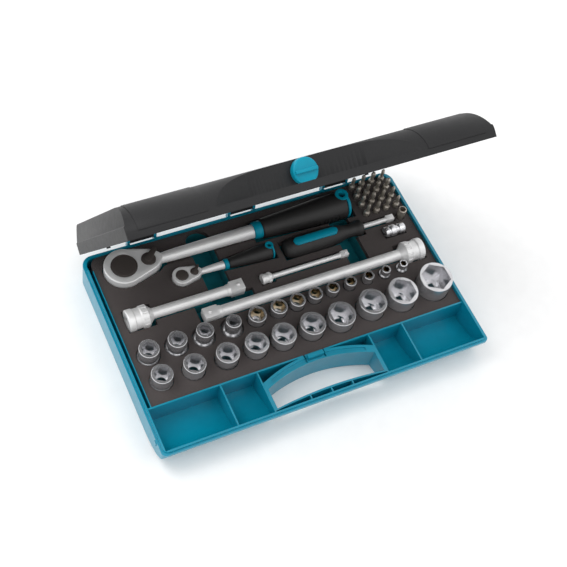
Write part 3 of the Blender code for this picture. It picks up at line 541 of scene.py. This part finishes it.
def tool_pockets():
    top = 60
    return [
        box((84.03, 14.02, 4.4), (106.97, 76.03, top + 3)),
        hull([(-141.3, 88.5, 21.5), (-114, 88.5, 14.5), (-104, 88.5, 9)], 18.5, top),
        rod((-141.3, 88.5, 0), 10.5, 3.6, 30),
        box((-104, 80.0, 22.0), (3, 97.0, top)),
        rod((0, 88.5, 30.0), 13.6, 0, 118, "X", 48, 17.2),
        hull([(-89.6, 61, 10.9), (-75, 61, 8), (-66, 61, 5)], 22.0, top),
        rod((-89.6, 61, 0), 5.6, 13.5, 30),
        box((-68, 55.2, 23.0), (-40, 66.8, top)),
        rod((0, 61, 28.5), 7.6, -45, 15, "X", 48, 10.8),
        rod((0, DRIVER_Y, DRIVER_Z), 12.2, 21, 87, "X"),
        rod((0, DRIVER_Y, DRIVER_Z), 9.8, 80, 118, "X"),
        box((116, 52.2, 20), (158, 61.5, top)),
        rod((0, 31, 29), 12.6, -161.5, -132.0, "X"),
        box((-136, 24.0, 21.5), (-33, 38.0, top)),
        rod((0, 11, 29), 12.8, 136.6, 167.4, "X"),
        box((-89, 3.9, 21.5), (142, 18.1, top)),
        rod((0, 31, 29.5), 6.6, -15.6, 1.0, "X"),
        box((-1, 27.4, 20.0), (88, 36.6, top)),
        rod((0, 41, 30), 7.2, 135, 161.4, "X"),
        hull([(-57, 97, 13.05), (-57, 60, 13.05)], 4.43, top + 1),
        box((-70, 20, 4.4), (-44, 75, top)),
        box((-91, 5, 8.0), (-26, 27, top + 2)),
    ]


def make_foam():
    foam = prism(rounded(172.35, -62.8, 111.2, 0.5, 9.0), 2.8, 28.0)
    foam.data.transform(Matrix.Translation((2.15 * MM, 0, 0)))
    cuts = tool_pockets()
    for _, x, y, d in HALF_INCH:
        cuts.append(rod((x, y, 0), max(HALF_BASE_D, d) / 2 + 0.7, HALF_FLOOR_Z, 60))
    for _, x, y, d in QUARTER_INCH:
        cuts.append(rod((x, y, 0), max(QUARTER_BASE_D, d) / 2 + 0.6, QUARTER_FLOOR_Z, 60))
    for row in range(4):
        for col in range(4):
            x, y = BIT_X0 + col * BIT_PITCH, BIT_Y0 + row * BIT_PITCH
            cuts.append(rod((x, y, 0), 4.0, BIT_FLOOR_Z, 60, "Z", 20))
    cuts.append(rod((*HOLDER, 0), 4.9, 18.0, 60, "Z", 32))
    combine(foam, cuts)
    place(foam, "foam_block", "case", "foam", ["foam_insert"])


# Tools -----------------------------------------------------------------------------------------


def make_ratchet(kind, head, lever_x, y, top, thick, s):
    """Head, drive disc, reversing lever, collar, grip and hanging cap of one ratchet."""
    hx, hr, dr = head
    lr, axis_z, bottom = s["lever_r"], s["axis_z"], top - thick
    node, body = f"ratchet_{kind}", f"ratchet_{kind}"
    frame_piece = hull([(hx, y, hr), (lever_x, y, lr * 1.7), (lever_x + lr, y, lr)], bottom, top)
    soften(frame_piece, s["edge"] * 1.5, 4, 50)
    neck_profile = [
        (0, s["tang_x"]), (s["tang_r"], s["tang_x"]), (s["tang_r"], s["collar_x"]),
        (s["shaft_r"], s["collar_x"]), (s["neck_r"], s["neck_x"]),
        (s["neck_r"] * 0.8, lever_x), (0, lever_x),
    ]
    combine(frame_piece, [lathe(neck_profile, (0, y, axis_z), "X", 56)], "UNION")
    bore = rod((hx, y, 0), dr + GAP, bottom - 5, top + 5, "Z", 80)
    combine(frame_piece, [bore, rod((lever_x, y, 0), lr + GAP, top - 3.0, top + 5, "Z", 56)])
    soften(frame_piece, 0.25, 2, 50)
    place(frame_piece, f"{node}_head", body, "satin", [f"{node}_body"])

    disc = [
        (0, top + 0.2), (dr * 0.86, top + 0.2), (dr * 0.88, top - 0.1), (dr * 0.92, top - 0.1),
        (dr * 0.94, top + 0.2), (dr - 0.3, top + 0.1), (dr, top - 0.4), (dr, bottom), (0, bottom),
    ]
    drive = lathe(disc, (hx, y, 0), "Z", 80)
    length, square = s["square_length"], s["square"]
    combine(drive, [bar((hx, y, 0), square, 4, bottom - length, bottom + 2)], "UNION")
    soften(drive, 0.2, 2, 50)
    place(drive, f"{node}_disc", f"{body}_drive", "dark_steel", [f"{node}_drive"])

    button = [(0, top + 0.6), (lr, top + 0.6), (lr, top - 2.7), (0, top - 2.7)]
    lever = lathe(button, (lever_x, y, 0), "Z", 56, "cut", 0.5)
    half, reach = lr * 0.32, lr * 2.0
    tab = hull([(0, 0, half * 1.5), (reach - half, 0, half)], top + GAP, top + GAP + s["tab_t"])
    turn = Matrix.Translation((lever_x * MM, y * MM, 0)) @ Matrix.Rotation(math.radians(42), 4, "Z")
    tab.data.transform(turn)
    combine(lever, [tab], "UNION")
    soften(lever, 0.3, 2, 50)
    place(lever, f"{node}_switch", f"{body}_lever", "dark_steel", [f"{node}_lever"])

    bore_r = s["tang_r"] + GAP
    start, grip_x, end = s["collar_x"] + GAP, s["grip_x"], s["end_x"]
    cr = s["collar_r"]
    ring = [
        (bore_r, grip_x - GAP), (cr, grip_x - GAP), (cr * 1.03, (start + grip_x) / 2),
        (cr * 0.94, start),
        (bore_r, start), (bore_r, grip_x - GAP),
    ]
    collar = lathe(ring, (0, y, axis_z), "X", 56, "cut", 0.5)
    place(collar, f"{node}_ring", body, "teal_soft", [f"{node}_collar"])

    r0, r1 = s["grip_r"]
    span = end - grip_x
    shape = [
        (0, end), (r1 * 0.93, end), (r1, end - 2.5), (r1, grip_x + span * 0.72),
        (r0 + (r1 - r0) * 0.45, grip_x + span * 0.35), (r0, grip_x + 1), (r0 - 1, grip_x),
    ]
    deep = s["tang_x"] + 0.5
    shape = eased(shape, 4.0) + [(bore_r, grip_x), (bore_r, deep), (0, deep)]
    grip = lathe(shape, (0, y, axis_z), "X", 64)
    eye_r, eye_hole = s["eye_r"]
    eye_x, eye_y = end - eye_r * 0.35, y + s["eye_y"]
    low, high = axis_z + r1 * 0.45, axis_z + r1 * 0.98
    cuts = [rod((eye_x, eye_y, 0), eye_r + GAP, low - GAP, high + 9, "Z", 48)]
    for i in range(8):
        x = grip_x + span * (0.56 + i * 0.045)
        cuts.append(box((x, y - r1 - 2, axis_z - 3), (x + span * 0.008, y - r1 * 0.93, axis_z + 7)))
    combine(grip, cuts)
    place(grip, f"{node}_handle", body, "rubber", [f"{node}_grip"])

    out = end + s["cap_t"]
    crown = [
        (0, out), (r1 * 0.6, out), (r1 * 0.97, (out + end) / 2), (r1 * 0.97, end + GAP),
        (0, end + GAP),
    ]
    cap = lathe(crown, (0, y, axis_z), "X", 56, "cut", 1.5)
    combine(cap, [rod((eye_x, eye_y, 0), eye_r, low, high, "Z", 48)], "UNION")
    combine(cap, [rod((eye_x, eye_y, 0), eye_hole, axis_z - 40, high + 5, "Z", 40)])
    soften(cap, 0.35, 2, 50)
    place(cap, f"{node}_hanger", body, "teal_soft", [f"{node}_cap"])


def make_ratchets():
    make_ratchet(
        "half", (-141.3, 20.5, 13.4), -115.3, 88.5, 36.0, 17.0,
        dict(
            square=12.5, square_length=14.5, axis_z=30.0, lever_r=7.4, tab_t=2.2, edge=1.0,
            neck_x=-88.0, neck_r=6.2, shaft_r=7.6, collar_x=1.0, collar_r=9.4,
            tang_r=4.5, tang_x=60.0, grip_x=10.5, grip_r=(10.8, 15.2), end_x=109.0,
            cap_t=6.0, eye_r=(7.2, 3.7), eye_y=4.2,
        ),
    )
    make_ratchet(
        "quarter", (-89.6, 9.9, 6.3), -76.2, 61.0, 33.0, 10.5,
        dict(
            square=6.35, square_length=7.5, axis_z=28.5, lever_r=4.1, tab_t=1.6, edge=0.6,
            neck_x=-64.0, neck_r=3.4, shaft_r=4.4, collar_x=-43.5, collar_r=5.6,
            tang_r=2.4, tang_x=-14.0, grip_x=-38.5, grip_r=(5.6, 8.8), end_x=9.5,
            cap_t=3.5, eye_r=(4.4, 2.2), eye_y=2.2,
        ),
    )


def capsule(x0, x1, half, low, high):
    right = arc(x1 - half, DRIVER_Y, half, half, -90, 90, 16)
    return prism([*right, *arc(x0 + half, DRIVER_Y, half, half, 90, 270, 16)], low, high)


def make_driver():
    at = (0, DRIVER_Y, DRIVER_Z)
    profile = [
        (0, 116.0), (7.4, 116.0), (8.8, 114.5), (8.8, 111.0), (7.4, 107.0), (7.2, 96.0),
        (10.0, 86.0), (11.4, 70.0), (11.4, 40.0), (10.4, 28.0), (7.5, 23.5), (0, 22.5),
    ]
    grip = lathe(profile, at, "X", 64, "cut", 3.0)
    seat = capsule(33.0 - GAP, 84.0 + GAP, 4.6 + GAP, DRIVER_Z + 8.0 - GAP, 50)
    combine(grip, [seat, rod(at, 2.8, 92, 120, "X", 32)])
    place(grip, "driver_handle", "driver", "rubber", ["driver_grip"])
    inlay = capsule(33.0, 84.0, 4.6, DRIVER_Z + 8.0, DRIVER_Z + 13)
    combine(inlay, [rod(at, 11.9, 20, 90, "X", 72)], "INTERSECT")
    soften(inlay, 0.5, 3, 50)
    place(inlay, "driver_stripe", "driver", "teal_soft", ["driver_inlay"])
    shaft = rod(at, 2.5, 92.5, 148, "X", 40)
    combine(shaft, [bar(at, 6.35, 4, 146, 155, "X")], "UNION")
    soften(shaft, 0.3, 2, 50)
    place(shaft, "driver_rod", "driver", "satin", ["driver_shaft"])


def make_extension(node, y, z, socket_end, tip_end, socket_r, shaft_r, square, tip_len):
    way = 1 if socket_end > tip_end else -1
    deep = socket_r * 1.9

    def at(distance):
        return socket_end - way * distance

    steps = [
        (0, at(0)), (socket_r * 0.94, at(0)), (socket_r, at(0.8)), (socket_r, at(deep * 0.3)),
        (socket_r * 0.92, at(deep * 0.34)), (socket_r * 0.92, at(deep * 0.62)),
        (socket_r, at(deep * 0.66)), (socket_r, at(deep * 0.95)), (socket_r * 0.86, at(deep)),
        (shaft_r, at(deep + socket_r * 0.4)), (shaft_r, tip_end + way * (tip_len + 6)),
        (shaft_r * 1.12, tip_end + way * (tip_len + 5)), (shaft_r * 1.12, tip_end + way * tip_len),
        (0, tip_end + way * tip_len),
    ]
    body = lathe(steps, (0, y, z), "X", 72, "cut", 0.5)
    tip = bar((0, y, z), square, 4, *sorted((tip_end, tip_end + way * (tip_len + 2))), "X")
    soften(tip, square * 0.05, 2, 50)
    combine(body, [tip], "UNION")
    detent = ball((tip_end + way * tip_len * 0.45, y, z + square / 2), square * 0.16)
    place(detent, f"{node}_detent", node, "satin", slot=node)
    hole = bar((0, y, z), square + 0.3, 4, *sorted((socket_end + way * 3, at(deep * 0.72))), "X")
    ribs = []
    for i in range(12):
        angle = 2 * math.pi * (i + 0.37) / 12
        cy, cz = y + socket_r * math.cos(angle), z + socket_r * math.sin(angle)
        low, high = sorted((at(deep * 0.68), at(deep * 0.93)))
        ribs.append(rod((0, cy, cz), socket_r * 0.09, low, high, "X", 12))
    combine(body, [hole, *ribs])
    place(body, f"{node}_bar", node, "satin", [node])


def make_extensions():
    make_extension("extension_half_125", 31.0, 29.0, -160.0, -35.0, 11.7, 5.6, 12.5, 13.0)
    make_extension("extension_half_250", 11.0, 29.0, 165.2, -87.0, 11.9, 5.9, 12.5, 14.0)
    make_extension("extension_quarter", 31.0, 29.5, -14.2, 86.0, 5.6, 2.6, 6.35, 6.5)
    at = (0, 41.0, 30.0)
    profile = [
        (0, 160.0), (5.2, 160.0), (5.9, 159.0), (5.9, 153.0), (4.9, 152.4), (4.9, 149.6),
        (6.2, 149.0), (6.2, 143.0), (5.2, 142.4), (5.2, 140.6), (5.9, 140.0), (5.4, 136.5),
        (0, 136.5),
    ]
    adaptor = lathe(profile, at, "X", 56, "cut", 0.4)
    combine(adaptor, [bar(at, 6.6, 4, 151, 165, "X")])
    place(adaptor, "adaptor_body", "adaptor", "chrome", ["adaptor"])


def section(across, count):
    """Radius against angle: a circle (count 0), or a polygon sized across its flats."""
    if not count:
        return lambda angle: across / 2
    half = math.pi / count
    return lambda angle: across / 2 / math.cos((angle + half) % (2 * half) - half)


def loft(levels, at, name="cut"):
    """A closed tube through (across, corner count, height) sections, last joined to first."""
    bm = bmesh.new()
    rings = []
    for across, count, height in levels:
        radius = section(across, count)
        ring = []
        for i in range(SAMPLES):
            angle = 2 * math.pi * i / SAMPLES
            r = radius(angle)
            point = (at[0] + r * math.cos(angle), at[1] + r * math.sin(angle), at[2] + height)
            ring.append(bm.verts.new(Vector(point) * MM))
        rings.append(ring)
    for one, two in zip(rings, rings[1:] + rings[:1]):
        for i in range(SAMPLES):
            j = (i + 1) % SAMPLES
            bm.faces.new((one[i], one[j], two[j], two[i]))
    return object_of(name, bm)


def make_socket(node, at, mouth, base, length, neck, size, square):
    """A socket, mouth up: hexagon with a lead-in, round relief below it and a square drive."""
    head = neck if mouth < base else length * 0.62
    shoulder = length - head - abs(mouth - base) * 0.4 - 0.4
    floor = length * 0.5
    levels = [
        (mouth - 0.9, 0, length), (mouth, 0, length - 0.45), (mouth, 0, length - head),
        (base, 0, shoulder), (base, 0, 0.5), (base - 0.8, 0, 0),
        (square + 0.5, 4, 0), (square, 4, 0.5),
        (square, 4, floor - 3.5), (size * 0.8, 0, floor - 3.5), (size * 0.8, 0, floor),
        (size, 6, floor), (size, 6, length - 0.9), (size + 0.5, 6, length),
    ]
    body = place(loft(levels, at), f"{node}_shell", node, "chrome", [node])
    if "quarter" in node:
        body.data.materials.append(LOOKS["warm"])
        walls = range(HEX_WALL * SAMPLES, (HEX_WALL + 1) * SAMPLES)
        for face in walls:
            body.data.polygons[face].material_index = 1


def make_sockets():
    for size, x, y, d in HALF_INCH:
        at = (x, y, HALF_FLOOR_Z + GAP)
        length = 38.0 + max(0.0, d - 28.0) * 0.75
        name, base = f"socket_half_{size}", max(HALF_BASE_D, d * 0.86)
        make_socket(name, at, d, base, length, HALF_NECK, float(size), HALF_SQUARE)
    for size, x, y, d in QUARTER_INCH:
        at = (x, y, QUARTER_FLOOR_Z + GAP)
        name, base = f"socket_quarter_{size}", max(QUARTER_BASE_D, d * 0.9)
        length, neck = QUARTER_LENGTH, QUARTER_NECK
        make_socket(name, at, d, base, length, neck, float(size), QUARTER_SQUARE)


def make_bits():
    """Sixteen upright bits; the first eight stand for CAD nodes."""
    for number in range(16):
        row, col = divmod(number, 4)
        at = (BIT_X0 + col * BIT_PITCH, BIT_Y0 + row * BIT_PITCH, 0)
        shank = bar(at, 6.35, 6, BIT_FLOOR_Z + GAP, 33.0)
        soften(shank, 0.5, 2, 50)
        wide = 2.0 + 0.25 * (number % 3)
        stem = [(0, BIT_TOP_Z), (wide * 0.6, BIT_TOP_Z), (wide, BIT_TOP_Z - 2.5), (wide, 39.0)]
        stem += [(1.7, 37.0), (1.9, 34.5), (3.3, 32.5), (0, 32.5)]
        combine(shank, [lathe(stem, at, "Z", 6 if number % 2 else 32, "cut", 0.3)], "UNION")
        nodes = [f"bit_{number + 1:02d}"] if number < 8 else []
        place(shank, f"bit_piece_{number + 1:02d}", "case", "bit", nodes, "bit_01")
    at = (*HOLDER, 0)
    profile = [(0, 41.0), (4.0, 41.0), (4.5, 40.4), (4.5, 32.0), (3.9, 31.4), (3.9, 18.5)]
    profile.append((0, 18.5))
    holder = lathe(profile, at, "Z", 48, "cut", 0.3)
    combine(holder, [bar(at, 6.4, 6, 31, 45)])
    place(holder, "holder_sleeve", "case", "bit", ["bit_holder"])


# Setting ---------------------------------------------------------------------------------------


def area_light(location, target, size, power):
    data = bpy.data.lights.new("softbox", "AREA")
    data.shape, data.size, data.energy = "SQUARE", size, power
    lamp = bpy.data.objects.new("softbox", data)
    bpy.context.scene.collection.objects.link(lamp)
    lamp.location = location
    lamp.rotation_euler = (Vector(target) - Vector(location)).to_track_quat("-Z", "Y").to_euler()


def make_setting():
    scene = bpy.context.scene
    scene.view_settings.view_transform = "Standard"
    floor = box((-3000, -3000, -12), (3000, 3000, -0.3), "floor")
    floor.data.materials.append(LOOKS["floor"])
    world = bpy.data.worlds.new("studio")
    scene.world = world
    world.use_nodes = True
    sky = world.node_tree.nodes["Background"]
    sky.inputs["Color"].default_value = (1, 1, 1, 1)
    sky.inputs["Strength"].default_value = 0.95
    area_light((-0.7, 0.5, 1.3), (0, 0, 0), 0.9, 9)
    area_light((0.6, -0.6, 1.4), (0, 0, 0), 1.1, 3)

    data = bpy.data.cameras.new("camera")
    data.sensor_width, data.lens = 36.0, 69.1
    camera = bpy.data.objects.new("camera", data)
    scene.collection.objects.link(camera)
    right = (0.8961, -0.4152, 0.1570)
    up, back = (0.2817, 0.8053, 0.5216), (-0.3430, -0.4232, 0.8386)
    turn = Matrix((right, up, back)).transposed().to_4x4()
    camera.matrix_world = Matrix.Translation((-0.3766, -0.4522, 0.9638)) @ turn
    scene.camera = camera


make_base()
make_lid()
make_knob()
make_pins()
make_foam()
make_ratchets()
make_driver()
make_extensions()
make_sockets()
make_bits()
make_setting()
